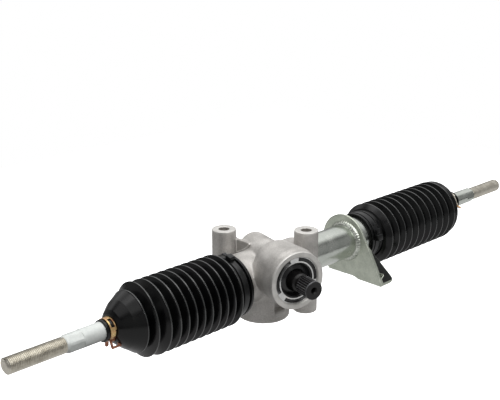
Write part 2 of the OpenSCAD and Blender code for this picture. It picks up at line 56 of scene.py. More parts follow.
# Stands a form that was spun about X on its end
UPRIGHT = Matrix.Rotation(-math.pi / 2, 4, "Y")
# Station of the bracket's plate along the rack
PLATE_X = 138.0

# Camera at the photograph's place
camera = bpy.data.objects.new("camera", bpy.data.cameras.new("camera"))
bpy.context.scene.collection.objects.link(camera)
camera.location = Vector((-658.68, -594.83, 351.56)) * MM
camera.rotation_euler = (math.radians(90 - 17.784), 0, math.radians(-44.505))
camera.data.lens = 72
camera.data.sensor_width = 36
camera.data.clip_start = 0.01
bpy.context.scene.camera = camera
bpy.context.scene.view_settings.view_transform = "Standard"


# Materials
def linear(hex_colour):
    """An sRGB hex colour in linear light."""
    parts = [int(hex_colour[i : i + 2], 16) / 255 for i in (1, 3, 5)]
    return [c / 12.92 if c <= 0.04045 else ((c + 0.055) / 1.055) ** 2.4 for c in parts] + [1.0]


def add(tree, kind, links=(), to=None, stops=(), **settings):
    """Adds a node: settings name properties or sockets, links feed it, to takes its first output."""
    n = tree.nodes.new(kind)
    for key, value in settings.items():
        if hasattr(n, key):
            setattr(n, key, value)
        else:
            n.inputs[key.replace("_", " ")].default_value = value
    for i, (at, colour) in enumerate(stops):
        element = n.color_ramp.elements[i] if i < 2 else n.color_ramp.elements.new(at)
        element.position = at
        element.color = linear(colour)
    for socket, source in links:
        tree.links.new(source, n.inputs[socket])
    if to:
        tree.links.new(n.outputs[0], to)
    return n


# How much of a colour's clouding is the fine grain, and where its two or three colours lie
FINE_SHARE = 0.35
COLOUR_STOPS = (0.36, 0.64, 0.74)


def finish(name, slot, grain_mm, colours, roughness, fine_mm, depth_mm, **values):
    """A Principled material: clouded colour and roughness over grain_mm, and a fine surface relief."""
    m = bpy.data.materials.new(name)
    m.use_nodes = True
    m["slot"] = slot
    t = m.node_tree
    s = t.nodes["Principled BSDF"]
    for socket, value in values.items():
        s.inputs[socket.replace("_", " ")].default_value = value
    place = add(t, "ShaderNodeTexCoord").outputs["Object"]
    cloud = add(t, "ShaderNodeTexNoise", [("Vector", place)], Scale=1 / (grain_mm * MM), Detail=4.0)
    fine = add(t, "ShaderNodeTexNoise", [("Vector", place)], Scale=1 / (fine_mm * MM), Detail=2.0)
    speckle = add(
        t, "ShaderNodeMix", [("A", cloud.outputs["Fac"]), ("B", fine.outputs["Fac"])], Factor=FINE_SHARE
    )
    add(
        t, "ShaderNodeValToRGB", [("Fac", speckle.outputs["Result"])], to=s.inputs["Base Color"],
        stops=list(zip(COLOUR_STOPS, colours)),
    )
    add(
        t, "ShaderNodeMapRange", [("Value", cloud.outputs["Fac"])], to=s.inputs["Roughness"],
        From_Min=0.3, From_Max=0.7, To_Min=roughness[0], To_Max=roughness[1],
    )
    add(
        t, "ShaderNodeBump", [("Height", fine.outputs["Fac"])], to=s.inputs["Normal"],
        Strength=1.0, Distance=depth_mm * MM,
    )
    return m


# Die-cast aluminium, bead blasted: warm grey, matt, with an even grit.
# Real grit is 0.15 mm; drawn at 0.9 mm so that it shows
blasted = finish(
    "die_cast_aluminium_blasted", "cast_aluminium", 18, ("#A3A09C", "#D2CFCB"), (0.5, 0.62), 0.9, 0.19,
    Metallic=0.6,
)
# Machined aluminium faces: brighter and finer than the cast skin
machined = finish(
    "machined_aluminium", "cast_aluminium", 6, ("#C9C7C3", "#DCDAD6"), (0.46, 0.54), 0.6, 0.02,
    Metallic=0.7,
)
# Bored aluminium down the bolt holes: smoother than the faces, and painted darker as the shade down the holes
bore_painted_shade = finish(
    "bored_aluminium_painted_shade", "cast_aluminium", 3, ("#8A857F", "#A9A49E"), (0.3, 0.36), 0.6, 0.02, Metallic=0.35
)
# Clear zinc on drawn tube: cool light grey with a faint green cast and cloudy patches
tube_zinc = finish(
    "clear_zinc_on_tube", "zinc_steel", 14, ("#B9BEB7", "#CDD0CA"), (0.2, 0.28), 1.2, 0.015, Metallic=1.0
)
# The same zinc on rolled plate: duller, greener, with rolling haze
plate_zinc = finish(
    "clear_zinc_on_pressed_plate", "zinc_steel", 8, ("#B3B9AC", "#D0D5C8"), (0.36, 0.48), 1.2, 0.03,
    Metallic=0.9,
)
# The flange's outer face: the same steel, painted near black as painted shade and dark reflection, with bare
# edges
flange_painted_shade = finish(
    "flange_face_painted_shade", "zinc_steel", 6, ("#0E0F0E", "#1C1D1B"), (0.34, 0.44), 1.2, 0.03,
    Metallic=0.1,
)
# Zinc over weld metal: patchy and bright on its ripples
weld_zinc = finish(
    "zinc_on_weld_metal", "weld_steel", 2.5, ("#8F938A", "#DADDD4"), (0.22, 0.4), 0.9, 0.08, Metallic=1.0
)
# Blue zinc on a forged rod: pale, cool, softly mottled
rod_zinc = finish(
    "blue_zinc_on_forged_rod", "rod_steel", 5, ("#C9CDCA", "#D9DCD9"), (0.5, 0.6), 1.0, 0.02, Metallic=0.2
)
# Zinc on the rolled thread: a straw cast from the chromate
thread_zinc = finish(
    "straw_zinc_on_rolled_thread", "rod_steel", 5, ("#BDB8AC", "#DBD7CC"), (0.36, 0.42), 1.0, 0.01,
    Metallic=1.0,
)
# Yellow chromate on spring steel: straw, pink and copper in patches
clamp_zinc = finish(
    "yellow_chromate_on_spring_band", "clamp_zinc", 3, ("#B97F62", "#E6CD8C", "#EFC6B4"), (0.24, 0.34),
    1.4, 0.01, Metallic=0.7,
)
# The right clamp's band: the same spring steel, its chromate worn pale
clamp_pale = finish(
    "worn_chromate_on_spring_band", "clamp_zinc", 3, ("#B9B2A4", "#DAD4C8"), (0.26, 0.36), 1.4, 0.01,
    Metallic=0.6,
)
# The left clamp's bent ends, where the chromate lies thicker: copper and rose
clamp_copper = finish(
    "copper_chromate_on_bent_ends", "clamp_zinc", 3, ("#8A5442", "#C58A6E", "#E8B49A"), (0.26, 0.36),
    1.4, 0.01, Metallic=0.6,
)
# Bright plated spring steel of the retaining ring: near white, with a warm tinge here and there that is a
# painted reflection
ring_steel = finish(
    "bright_steel_ring", "ring_steel", 7, ("#C2C2C2", "#DEDEDC", "#E6CBC2"), (0.2, 0.28), 1.5, 0.01,
    Metallic=0.9,
)
# Black oxide on the pinion: near black, oily, with a brown cast in places
oxide = finish(
    "black_oxide_steel", "black_oxide_steel", 4, ("#101011", "#1E1C1C", "#3A2724"), (0.28, 0.42), 0.8,
    0.02, Metallic=0.3,
)
# Ground steel of the rack bar: mid grey, even and satin
hidden_steel = finish(
    "ground_rack_steel", "rack_steel", 10, ("#8E9093", "#A2A4A7"), (0.3, 0.38), 1.5, 0.01, Metallic=1.0
)
# Phosphated, turned sockets: darker and dull
socket_steel = finish(
    "phosphated_turned_steel", "socket_steel", 6, ("#6E6F71", "#85868A"), (0.42, 0.5), 1.0, 0.02,
    Metallic=0.9,
)
# Hardened and ground bearing steel: bright, nearly a mirror
bearing_steel = finish(
    "bearing_steel", "bearing_steel", 10, ("#C4C4C6", "#D8D8DA"), (0.15, 0.2), 2.0, 0.005, Metallic=1.0
)
# Rolled spring steel: mid grey with a soft shine
spring_steel = finish(
    "plain_spring_steel", "spring_steel", 6, ("#85878A", "#9B9DA0"), (0.32, 0.4), 1.0, 0.01, Metallic=1.0
)
# Black EPDM of the boots: moulded, satin, with a faint haze
boot_rubber = finish(
    "epdm_rubber_boot", "boot_rubber", 9, ("#030304", "#070808"), (0.2, 0.27), 1.0, 0.008,
    Specular_IOR_Level=0.32,
)
# The folds' ridges: smoother, and painted greyer as a painted highlight along the crests
ridge_rubber_painted_highlight = finish(
    "epdm_rubber_ridges_painted_highlight", "boot_rubber", 9, ("#1E1F1F", "#2E2F2F"), (0.18, 0.24), 1.0, 0.005,
    Specular_IOR_Level=0.8,
)
# Nitrile of the lip seal: black, a little oily
seal_rubber = finish(
    "nitrile_seal", "seal_rubber", 4, ("#131314", "#1E1E20", "#3A2624"), (0.16, 0.28), 0.8, 0.02,
    Specular_IOR_Level=0.45,
)
# Black nylon of the ties: moulded, slightly paler than the rubber
tie_nylon = finish(
    "black_nylon_tie", "tie_nylon", 6, ("#0C0D0E", "#131415"), (0.26, 0.34), 1.5, 0.01,
    Specular_IOR_Level=0.4,
)
# Black acetal of the bushes: moulded, dull
bush_black = finish(
    "black_acetal_bush", "bush_polymer", 8, ("#18181A", "#202022"), (0.36, 0.44), 1.0, 0.01
)
# Natural acetal of the ball seats: milky white, slightly waxy
acetal = finish(
    "natural_acetal_seat", "seat_polymer", 8, ("#E2E0D6", "#ECEAE2"), (0.28, 0.34), 1.5, 0.01
)


def paint_crest_highlights(material, colour, crest_r, station):
    """Lightens a shaft's tooth crests as a painted highlight, outside crest_r from the pinion axis and beyond
    a station.
    """
    t = material.node_tree
    to_axis = PINION_TURN.inverted()
    place = add(
        t, "ShaderNodeMapping", [("Vector", t.nodes["Texture Coordinate"].outputs["Object"])],
        Rotation=to_axis.to_euler(), Location=-(to_axis @ CROSSING) * MM,
    )
    axes = add(t, "ShaderNodeSeparateXYZ", [("Vector", place.outputs["Vector"])])
    across = add(t, "ShaderNodeCombineXYZ", [("Y", axes.outputs["Y"]), ("Z", axes.outputs["Z"])])
    radius = add(t, "ShaderNodeVectorMath", [(0, across.outputs["Vector"])], operation="LENGTH")
    on_crest = add(
        t, "ShaderNodeMapRange", [("Value", radius.outputs["Value"])],
        From_Min=crest_r * MM, From_Max=(crest_r + 0.3) * MM,
    )
    on_end = add(
        t, "ShaderNodeMapRange", [("Value", axes.outputs["X"])],
        From_Min=station * MM, From_Max=(station + 0.5) * MM,
    )
    crest_highlight = add(
        t, "ShaderNodeMath", [(0, on_crest.outputs["Result"]), (1, on_end.outputs["Result"])],
        operation="MULTIPLY",
    )
    base = t.nodes["Principled BSDF"].inputs["Base Color"]
    add(
        t, "ShaderNodeMixRGB", [("Fac", crest_highlight.outputs["Value"]), ("Color1", base.links[0].from_socket)],
        to=base, Color2=linear(colour),
    )


# The serrated end starts 9 mm outside the mouth, and its teeth reach a radius of 8.5 mm
# Painted highlight: the pinion's tooth crests are lightened to grey
paint_crest_highlights(oxide, "#5C5C5F", 8.1, MOUTH + 9)


# Shape helpers: all sizes in millimetres until a piece is made
def piece(name, bm, material, body, at=Vector((0, 0, 0)), turn=None, angle=32, stands_for=()):
    """Makes a mesh object from bm, turned and put at its place, riding on a body.

    Edges sharper than angle, in degrees, stay crisp. stands_for names the CAD nodes it hides.
    """
    place = Matrix.Scale(MM, 4) @ Matrix.Translation(at)
    bmesh.ops.transform(bm, matrix=place @ (turn or Matrix.Identity(4)), verts=bm.verts)
    mesh = bpy.data.meshes.new(name)
    bm.to_mesh(mesh)
    bm.free()
    mesh.materials.append(material)
    mesh.polygons.foreach_set("use_smooth", [True] * len(mesh.polygons))
    mesh.set_sharp_from_angle(angle=math.radians(angle))
    o = bpy.data.objects.new(name, mesh)
    bpy.context.scene.collection.objects.link(o)
    if body:
        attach(o, body)
    if stands_for:
        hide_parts(*stands_for)
    return o


def rounded(corners, steps=5):
    """A line through (x, radius, fillet) corners, each rounded as far as its neighbours leave room."""
    line = []
    for i, (x, r, fillet) in enumerate(corners):
        p = Vector((x, r))
        if not fillet or i in (0, len(corners) - 1):
            line.append(p)
            continue
        a = Vector(corners[i - 1][:2]) - p
        b = Vector(corners[i + 1][:2]) - p
        half = a.angle(b) / 2
        reach = min(fillet / math.tan(half), a.length * 0.49, b.length * 0.49)
        for k in range(steps + 1):
            w = k / steps
            line.append(p + a.normalized() * reach * (1 - w) ** 2 + b.normalized() * reach * w**2)
    return line


def turned(line, steps=128, closed=False):
    """Spins a line of (x, radius) points round the X axis."""
    bm = bmesh.new()
    verts = [bm.verts.new((x, 0, r)) for x, r in line]
    edges = [bm.edges.new(pair) for pair in zip(verts, verts[1:])]
    if closed:
        edges.append(bm.edges.new((verts[-1], verts[0])))
    bmesh.ops.spin(bm, geom=verts + edges, axis=(1, 0, 0), angle=2 * math.pi, steps=steps, use_merge=True)
    bmesh.ops.remove_doubles(bm, verts=bm.verts, dist=1e-4)
    bmesh.ops.recalc_face_normals(bm, faces=bm.faces)
    return bm


def join(bm, other):
    """Adds another bmesh's faces to bm."""
    mesh = bpy.data.meshes.new("joined")
    other.to_mesh(mesh)
    other.free()
    bm.from_mesh(mesh)
    bpy.data.meshes.remove(mesh)


def block(size, at, bevel=0.3, segments=2):
    """A box with bevelled edges."""
    bm = bmesh.new()
    bmesh.ops.create_cube(bm, size=1)
    bmesh.ops.scale(bm, vec=size, verts=bm.verts)
    bmesh.ops.bevel(
        bm, geom=bm.edges[:], offset=bevel, segments=segments, profile=0.5, affect="EDGES", material=-1
    )
    bmesh.ops.translate(bm, vec=at, verts=bm.verts)
    return bm


# Rounds of smoothing that reach the places kept crisp as well
CRISP_PASSES = 2


def softened(node, voxel, passes, crisp=None):
    """A copy of a CAD node, in mm, its sharp edges worn round, and less so where crisp(place) holds."""
    bm = bmesh.new()
    bm.from_mesh(nodes[node].data)
    bmesh.ops.remove_doubles(bm, verts=bm.verts, dist=1e-6)
    mesh = bpy.data.meshes.new("worn")
    bm.to_mesh(mesh)
    bm.free()
    o = bpy.data.objects.new("worn", mesh)
    bpy.context.scene.collection.objects.link(o)
    remesh = o.modifiers.new("voxels", "REMESH")
    remesh.mode = "VOXEL"
    remesh.voxel_size = voxel * MM
    worn = bpy.data.meshes.new_from_object(o.evaluated_get(bpy.context.evaluated_depsgraph_get()))
    bpy.data.objects.remove(o)
    bm = bmesh.new()
    bm.from_mesh(worn)
    bpy.data.meshes.remove(mesh)
    bpy.data.meshes.remove(worn)
    bmesh.ops.scale(bm, vec=(1 / MM,) * 3, verts=bm.verts)
    soft = [v for v in bm.verts if not (crisp and crisp(v.co))]
    for step in range(passes):
        verts = bm.verts[:] if step < CRISP_PASSES else soft
        bmesh.ops.smooth_vert(bm, verts=verts, factor=0.5, use_axis_x=True, use_axis_y=True, use_axis_z=True)
    return bm


# Boots: a folded bellows on the rack's side, then two short pieces toward the rod
BOOT_WALL = 1.3
FOLD_DEPTH = 8.6
# A ridge is a flat bead: its half width, and how far it stays below the fold's full radius
BEAD_HALF, BEAD_UNDER = 0.6, 0.05
# Level runs of a wall's line shorter than this are beads, and this deep a skin of them is painted greyer: a
# painted highlight
BEAD_LONGEST, HIGHLIGHT_SKIN = 2, 0.12


def boot_wall(name, corners, sag, neck, hang, skewed=0.0):
    """A wall that hangs sag mm low from the hang station on, and runs true at the neck.

    blend gives the two bodies it lies between and the stations where each lets go. skewed
    skewed leans the ridge at the shoulder: mm along the rack for each mm across.
    """
    bm = turned(rounded(corners), steps=160)
    bmesh.ops.solidify(bm, geom=bm.faces[:], thickness=BOOT_WALL)
    beads = [
        (a[0], b[0], a[1])
        for a, b in zip(corners, corners[1:])
        if b[1] == a[1] and b[0] - a[0] < BEAD_LONGEST
    ]
    # A bead's outer skin takes the greyer ridge material: painted highlight on the crests
    for f in bm.faces:
        c = f.calc_center_median()
        out = math.hypot(c.y, c.z)
        f.material_index = any(x0 < c.x < x1 and out > r - HIGHLIGHT_SKIN for x0, x1, r in beads)
    for v in bm.verts:
        v.co.z -= sag * min(1.0, max(0.0, (v.co.x - neck) / (hang - neck))) ** 2
        v.co.x += skewed * max(0.0, 1 - abs(v.co.x - LEFT_C2) / SKEW_REACH) * v.co.y
    o = piece(name, bm, boot_rubber, None, AXIS, angle=60)
    o.data.materials.append(ridge_rubber_painted_highlight)
    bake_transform(o)
    return o


def crest(x, r):
    """The two corners of a ridge's bead."""
    return [(x - BEAD_HALF, r - BEAD_UNDER, 0.25), (x + BEAD_HALF, r - BEAD_UNDER, 0.25)]


def fold_line(x0, r, pitch, n, depth):
    """Corners of n folds from the ridge at x0."""
    line = []
    for i in range(n):
        line += crest(x0 + i * pitch, r)
        if i < n - 1:
            line.append((x0 + (i + 0.5) * pitch, r - depth, 0.9))
    return line


# Left boot. Ridges are counted from the rod: C1 on the nose, C2 on the shoulder, C12 the last
LEFT_SAG, LEFT_PITCH, LEFT_R = 3.0, 8.95, 33.6
LEFT_ROOT_R = LEFT_R - FOLD_DEPTH
LEFT_C12 = -38.6
LEFT_C3 = LEFT_C12 - 9 * LEFT_PITCH
LEFT_C1, LEFT_C2 = LEFT_C3 - 19.2, LEFT_C3 - 11.2
LEFT_NECK = -166.0
# The small end sits a little askew, its far side toward the middle
SKEW, SKEW_REACH = 0.1, 22.0
boot_wall(
    "left_boot_folds",
    [(LEFT_C2 + 5.4, LEFT_ROOT_R, 0)]
    + fold_line(LEFT_C3, LEFT_R, LEFT_PITCH, 10, FOLD_DEPTH)
    + [(LEFT_C12 + 4.5, 26.6, 0.8), (LEFT_C12 + 6, 26.4, 0)],
    LEFT_SAG, LEFT_NECK, LEFT_C3,
    SKEW,
)
boot_wall(
    "left_boot_shoulder",
    [(LEFT_C1 + 4.6, 24.4, 0)] + crest(LEFT_C2, 33.0) + [(LEFT_C2 + 5.4, LEFT_ROOT_R, 0)],
    LEFT_SAG, LEFT_NECK, LEFT_C3,
    SKEW,
)
boot_wall(
    "left_boot_nose",
    [
        (-159.6, 9.3, 0), (-159.2, 11.8, 0.8), (-156.8, 14.8, 2), (-149, 21.3, 3),
        (LEFT_C1 - 1.6, 26.8, 0.4), (LEFT_C1 - 1.0, 27.4, 0.3), (LEFT_C1 + 0.2, 27.4, 0.3),
        (LEFT_C1 + 4.6, 24.4, 0),
    ],
    LEFT_SAG, LEFT_NECK, LEFT_C3,
    SKEW,
)
left_neck = [
    (-168.6, 8.05, 0), (-168.6, 9.5, 0.5), (-166.3, 9.7, 0.7), (-165.9, 9.1, 0.2), (-159.4, 9.1, 0.4),
    (-158.6, 11.4, 0), (-155.8, 13.4, 0), (-155.8, 8.05, 0),
]
piece(
    "left_boot_neck", turned(rounded(left_neck), closed=True), boot_rubber, "left_rod",
    AXIS + Vector((0, 0, -0.3)), stands_for=("left_boot",),
)
left_collar = [
    (LEFT_C12 + 3, 25.02, 0), (LEFT_C12 + 4.5, 28.5, 0.6), (-26.2, 28.5, 0.4), (-25.6, 27.2, 0.3),
    (-24.4, 27.2, 0.3), (-23.6, 29.6, 0.5), (-20.8, 29.6, 0.8), (-20.8, 25.02, 0),
]
# The collar hangs less than the folds, because the spigot carries it
COLLAR_SAG = LEFT_SAG * 0.8
piece(
    "left_boot_collar", turned(rounded(left_collar), closed=True), boot_rubber, "housing",
    AXIS + Vector((0, 0, -COLLAR_SAG)),
)

# Right boot. Its first ridge is at the collar, its eleventh on the nose
RIGHT_SAG, RIGHT_PITCH, RIGHT_R = 1.8, 10.96, 32.2
RIGHT_ROOT_R = RIGHT_R - FOLD_DEPTH
RIGHT_C1 = 176.6
RIGHT_LAST = RIGHT_C1 + 10 * RIGHT_PITCH
RIGHT_NECK = 320.0
boot_wall(
    "right_boot_folds",
    [(170.4, 24.4, 0), (171.4, 27.5, 1.5)]
    + fold_line(RIGHT_C1, RIGHT_R, RIGHT_PITCH, 9, FOLD_DEPTH)
    + [(RIGHT_C1 + 8.5 * RIGHT_PITCH, RIGHT_ROOT_R, 0)],
    RIGHT_SAG, RIGHT_NECK, RIGHT_LAST,
)
boot_wall(
    "right_boot_shoulder",
    [(RIGHT_C1 + 8.5 * RIGHT_PITCH, RIGHT_ROOT_R, 0)]
    + crest(RIGHT_C1 + 9 * RIGHT_PITCH, RIGHT_R)
    + [(RIGHT_C1 + 9.5 * RIGHT_PITCH, RIGHT_ROOT_R, 0)],
    RIGHT_SAG, RIGHT_NECK, RIGHT_LAST,
)
boot_wall(
    "right_boot_nose",
    [(RIGHT_C1 + 9.5 * RIGHT_PITCH, RIGHT_ROOT_R, 0)]
    + crest(RIGHT_LAST, RIGHT_R)
    + [
        (RIGHT_LAST + 3.5, 29.8, 0.8), (RIGHT_LAST + 8, 31.0, 1.5), (RIGHT_LAST + 11, 28.0, 3),
        (RIGHT_LAST + 20, 13.2, 1.5), (RIGHT_LAST + 21.5, 10.4, 0),
    ],
    RIGHT_SAG, RIGHT_NECK, RIGHT_LAST,
)
right_neck = [
    (325.2, 8.05, 0), (325.2, 11.4, 0.4), (324, 11.6, 0.4), (323.6, 10.35, 0.2), (315, 10.35, 0.8),
    (303.6, 13.4, 0), (303.6, 8.05, 0),
]
piece(
    "right_boot_neck", turned(rounded(right_neck), closed=True), boot_rubber, "right_rod", AXIS,
    stands_for=("right_boot",),
)
right_collar = [
    (153.6, 21.02, 0), (153.6, 24.6, 0.8), (156.6, 24.6, 0.5), (157.0, 23.8, 0.3), (165.4, 23.8, 0.3),
    (166, 24.7, 0.5), (171.5, 24.7, 0), (171.5, 21.9, 0),
]
piece("right_boot_collar", turned(rounded(right_collar), closed=True), boot_rubber, "housing", AXIS)


# Tie rods: ball, plain shank with six forged flats, and a rolled thread of 1.5 mm pitch.
# Stations count from the ball's middle, and outward is negative, as on the left rod
SHANK_R = 8
# The flats: stations, the length they run out over, distance from the rod's axis, and angles
FLATS_FROM, FLATS_TO, RUN_OUT = -94, -81, 0.1
FLAT_OUT = 7.45
FIRST_FLAT, NEXT_FLAT = math.radians(45), math.radians(60)
THREAD_X, ROD_END = -96.0, -150.0
THREAD_R, ROOT_R, CORE_R = 7, 6.1, 6.15
PITCH = 1.5


def tie_rod(side, ball_x, turn, shank_look):
    """One rod in two pieces, shank and thread, with its ball at a station of the rack."""
    body = side + "_rod"
    ball = [(10, 0, 0), (9.2, 3.9, 4), (7.1, 7.1, 4), (3.9, 9.2, 4), (0, 10, 4), (-3.9, 9.2, 4),
            (-7.05, 7.05, 4)]
    neck = [(-8.4, 5.35, 0.4), (-18.9, 5.4, 1.5), (-27, SHANK_R, 2)]
    flats = [(x, SHANK_R, 0) for x in (FLATS_TO + RUN_OUT, FLATS_TO, FLATS_FROM + RUN_OUT, FLATS_FROM)]
    tip = [(THREAD_X, 7.05, 0.4), (THREAD_X - 1.2, ROOT_R, 0), (THREAD_X - 1.2, 0, 0)]
    shank = turned(rounded(ball + neck + flats + tip, steps=3), steps=96)
    for v in shank.verts:
        if FLATS_FROM - RUN_OUT / 2 < v.co.x < FLATS_TO + RUN_OUT / 2:
            round_at = math.atan2(-v.co.y, v.co.z)
            off = (round_at - FIRST_FLAT - NEXT_FLAT / 2) % NEXT_FLAT - NEXT_FLAT / 2
            reach = min(1.0, FLAT_OUT / (SHANK_R * math.cos(off)))
            v.co.y, v.co.z = v.co.y * reach, v.co.z * reach
    at = AXIS + Vector((ball_x, 0, 0))
    piece(
        side + "_rod_shank", shank, shank_look, body, at, turn, angle=14, stands_for=(side + "_tie_rod",)
    )
    per_turn, turns = 28, 35
    ridge = [
        (0, ROOT_R), (-0.1, ROOT_R), (-0.68, THREAD_R), (-0.82, THREAD_R), (-1.4, ROOT_R), (-PITCH, ROOT_R),
    ]
    thread = bmesh.new()
    verts = [thread.verts.new((THREAD_X + x, 0, r)) for x, r in ridge]
    edges = [thread.edges.new(pair) for pair in zip(verts, verts[1:])]
    bmesh.ops.spin(
        thread, geom=verts + edges, axis=(1, 0, 0), angle=2 * math.pi * turns, steps=per_turn * turns,
        dvec=(-PITCH / per_turn, 0, 0),
    )
    bmesh.ops.remove_doubles(thread, verts=thread.verts, dist=2e-3)
    bmesh.ops.holes_fill(thread, edges=thread.edges, sides=0)
    bmesh.ops.recalc_face_normals(thread, faces=thread.faces)
    if thread.calc_volume(signed=True) < 0:
        bmesh.ops.reverse_faces(thread, faces=thread.faces)
    core = [
        (THREAD_X, 0, 0), (THREAD_X, CORE_R, 0), (ROD_END + 1.6, CORE_R, 0.4), (ROD_END, 4.7, 1.6),
        (ROD_END, 0, 0),
    ]
    join(thread, turned(rounded(core, steps=4), 64))
    piece(side + "_rod_thread", thread, thread_zinc, body, at, turn)


# The right shank is smoother and mirrors more, as the tube does
tie_rod("left", -108.5, None, rod_zinc)
tie_rod("right", 266.5, Matrix.Rotation(math.pi, 4, "Z"), tube_zinc)


# Spring clamps: a band whose forked end holds a narrow tongue, with both ends bent outward
BAND_WIDTH, BAND_THICK, END_THICK = 6.6, 0.6, 0.9
# The window between the fork's legs, and the gap beside the tongue: stations, then degrees
WINDOW, WINDOW_ROUND, TONGUE_ROUND = (1.3, 4.7), (10, 64), (80, 124)


def tang(width, length, flare, window):
    """A flat end standing up from the band, with an open middle or, where window is 0, a round tip."""
    bm = bmesh.new()
    bmesh.ops.create_grid(bm, x_segments=1, y_segments=1, size=0.5)
    bmesh.ops.scale(bm, vec=(width, length, 1), verts=bm.verts)
    bmesh.ops.translate(bm, vec=(0, length / 2, 0), verts=bm.verts)
    for v in bm.verts:
        if v.co.y > length / 2:
            v.co.x *= flare
    if window:
        bmesh.ops.inset_individual(bm, faces=bm.faces[:], thickness=window)
        middle = [f for f in bm.faces if all(not e.is_boundary for e in f.edges)]
        bmesh.ops.delete(bm, geom=middle, context="FACES")
    else:
        tip = [v for v in bm.verts if v.co.y > length / 2]
        bmesh.ops.bevel(
            bm, geom=tip, offset=width * 0.42, segments=4, profile=0.5, affect="VERTICES", material=-1
        )
    bmesh.ops.recalc_face_normals(bm, faces=bm.faces)
    bmesh.ops.solidify(bm, geom=bm.faces[:], thickness=END_THICK)
    bmesh.ops.rotate(bm, matrix=Matrix.Rotation(math.pi / 2, 3, "X"), verts=bm.verts)
    return bm


def spring_clamp(side, x0, r, roll, loop_at, tab_at, tab_x, look, ends_look):
    """A clamp with inner radius r from station x0 on. roll turns it all; loop_at and tab_at, in
    degrees, and tab_x place its two bent ends on the band."""
    bm = bmesh.new()
    verts = [bm.verts.new((x, 0, r)) for x in (0, WINDOW[0], WINDOW[1], BAND_WIDTH)]
    edges = [bm.edges.new(pair) for pair in zip(verts, verts[1:])]
    bmesh.ops.spin(bm, geom=verts + edges, axis=(1, 0, 0), angle=2 * math.pi, steps=90, use_merge=True)
    bmesh.ops.recalc_face_normals(bm, faces=bm.faces)
    gone = []
    for f in bm.faces:
        c = f.calc_center_median()
        round_at = math.degrees(math.atan2(-c.y, c.z)) % 360
        in_window = WINDOW_ROUND[0] < round_at < WINDOW_ROUND[1] and WINDOW[0] < c.x < WINDOW[1]
        beside_tongue = TONGUE_ROUND[0] < round_at < TONGUE_ROUND[1] and c.x > WINDOW[1]
        if in_window or beside_tongue:
            gone.append(f)
    bmesh.ops.delete(bm, geom=gone, context="FACES")
    bmesh.ops.solidify(bm, geom=bm.faces[:], thickness=-BAND_THICK)
    bmesh.ops.reverse_faces(bm, faces=bm.faces)
    band_faces = len(bm.faces)
    ends = (
        (tang(8.2, 8.2, 1.2, 3.0), loop_at, -6, BAND_WIDTH / 2 + 1.6),
        (tang(3.4, 6.4, 1.0, 0), tab_at, 4, tab_x),
    )
    for end, round_at, lean, x in ends:
        bmesh.ops.rotate(end, matrix=Matrix.Rotation(math.radians(round_at + lean), 3, "X"), verts=end.verts)
        root = math.radians(round_at)
        bmesh.ops.translate(end, vec=(x, -r * math.sin(root), r * math.cos(root)), verts=end.verts)
        join(bm, end)
    bmesh.ops.rotate(bm, matrix=Matrix.Rotation(math.radians(roll), 3, "X"), verts=bm.verts)
    bm.faces.ensure_lookup_table()
    for f in bm.faces[band_faces:]:
        f.material_index = 1
    band = piece(
        side + "_spring_band", bm, look, side + "_rod", AXIS + Vector((x0, 0, 0)), angle=40,
        stands_for=(side + "_small_clamp",),
    )
    band.data.materials.append(ends_look)


spring_clamp("left", -165.2, 9.25, 0, 150, 180, 1.9, clamp_zinc, clamp_copper)
spring_clamp("right", 316.6, 10.45, -40, 250, 142, 4.7, clamp_pale, clamp_zinc)


# Cable ties: strap, head with its slot, and the cut tail
def cable_tie(side, x0, x1, r, sag, roll):
    """A tie from station x0 to x1 round a collar of radius r, its head rolled round the rack."""
    mid = (x0 + x1) / 2
    strap = [(x0, r - 0.1, 0), (x0, r + 1.1, 0.35), (x1, r + 1.1, 0.35), (x1, r - 0.1, 0)]
    bm = turned(rounded(strap), closed=True)
    upper = bmesh.new()
    join(upper, block((x1 - x0 + 0.6, 6.4, 4.6), (mid, 0, r + 3.2), 0.7, 3))
    join(upper, block((x1 - x0 - 2.4, 1.2, 1.4), (mid, -3.2, r + 3.4), 0.2, 1))
    join(upper, block((x1 - x0 - 1.6, 7.0, 1.0), (mid, 5.6, r + 3.0), 0.3, 2))
    bmesh.ops.rotate(upper, matrix=Matrix.Rotation(math.radians(roll), 3, "X"), verts=upper.verts)
    join(bm, upper)
    piece(
        side + "_tie", bm, tie_nylon, "housing", AXIS + Vector((0, 0, -sag)), angle=50,
        stands_for=(side + "_cable_tie",),
    )


cable_tie("left", -32.5, -26.6, 28.5, COLLAR_SAG, 13)
cable_tie("right", 157.6, 164.0, 23.8, 0, 80)


# Pinion housing: the casting with its edges worn round, its machined faces set on
POCKET_DEEPER = 4.0
TO_MOUTH = Matrix.Translation(CROSSING) @ PINION_TURN


def crisp_edged(place):
    """The pocket in the yoke boss below the barrel, and the web at the left boss."""
    x, y, z = place - AXIS
    return (8 < x < 27 and y < -14 and z < -10) or (5.5 < x < 12.5 and 5 < y < 25 and 6 < z < 31)


casting = softened("pinion_housing", 0.93, 4, crisp_edged)
# The back wall of the pocket goes further in
for v in casting.verts:
    x, y, z = v.co - AXIS
    if 12.2 < x < 23.8 and -22.6 < y < -20.6 and -33.2 < z < -10:
        v.co.y += POCKET_DEEPER
# The worn lip of the mouth makes room for the machined ring
LIP_DEPTH, LIP_BORE, LIP_BACK = 8, 22.5, 0.7
for v in casting.verts:
    local = TO_MOUTH.inverted() @ v.co
    out = math.hypot(local.y, local.z)
    if local.x > MOUTH - LIP_DEPTH:
        if out < LIP_BORE:
            local.y, local.z = local.y * LIP_BORE / out, local.z * LIP_BORE / out
        local.x = min(local.x, MOUTH - LIP_BACK)
        v.co = TO_MOUTH @ local
